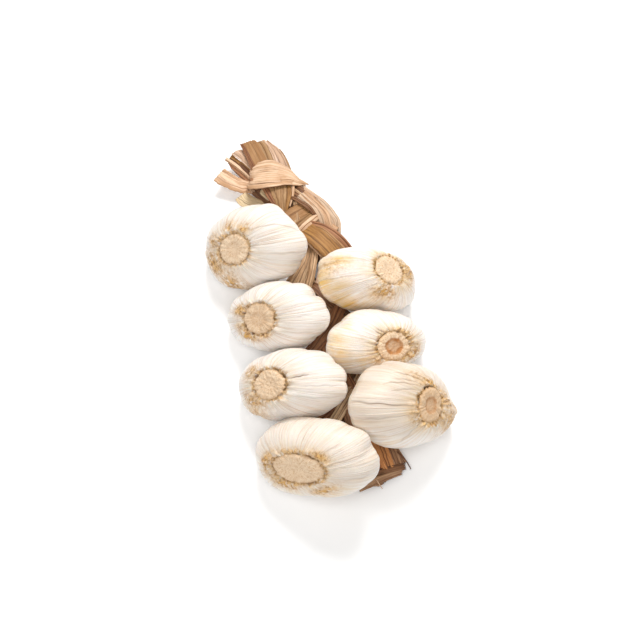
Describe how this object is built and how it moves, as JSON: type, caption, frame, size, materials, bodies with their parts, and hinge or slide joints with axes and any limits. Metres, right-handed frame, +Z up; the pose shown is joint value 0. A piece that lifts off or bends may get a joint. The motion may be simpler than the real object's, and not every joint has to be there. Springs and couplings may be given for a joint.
{
  "type": "garlic braid",
  "caption": "Short garlic braid: plump white bulbs with root discs in two rows on a plait of dried stalks, tied at the top with a wrapped leaf.",
  "frame": {"origin": "centre of the bounding box's bottom face, on the surface the braid lies on", "axes": "+Y along the braid toward its wrapped top, +Z up from the surface, +X to the right looking along +Y"},
  "size_m": [0.1041, 0.2114, 0.0547],
  "materials": {
    "garlic_skin": "dry, satin",
    "tan_leaf": "dry, matte",
    "pale_leaf": "dry, matte",
    "brown_leaf": "dry, matte"
  },
  "bodies": {
    "root": {"bulb_left_1": "garlic_skin", "bulb_left_2": "garlic_skin", "bulb_left_3": "garlic_skin", "bulb_left_4": "garlic_skin", "bulb_right_1": "garlic_skin", "bulb_right_2": "garlic_skin", "bulb_right_3": "garlic_skin", "strand_a": "tan_leaf", "strand_b": "tan_leaf", "strand_c": "tan_leaf", "wrap_band": "pale_leaf", "stalk_end_centre": "tan_leaf", "stalk_end_inner": "tan_leaf", "stalk_end_right": "tan_leaf", "leaf_end_left_1": "pale_leaf", "leaf_end_left_2": "pale_leaf", "leaf_end_left_3": "pale_leaf", "leaf_end_left_4": "pale_leaf", "leaf_stub_left": "pale_leaf", "tail_end_1": "brown_leaf", "tail_end_2": "brown_leaf", "tail_end_3": "brown_leaf"}
  },
  "joints": []
}
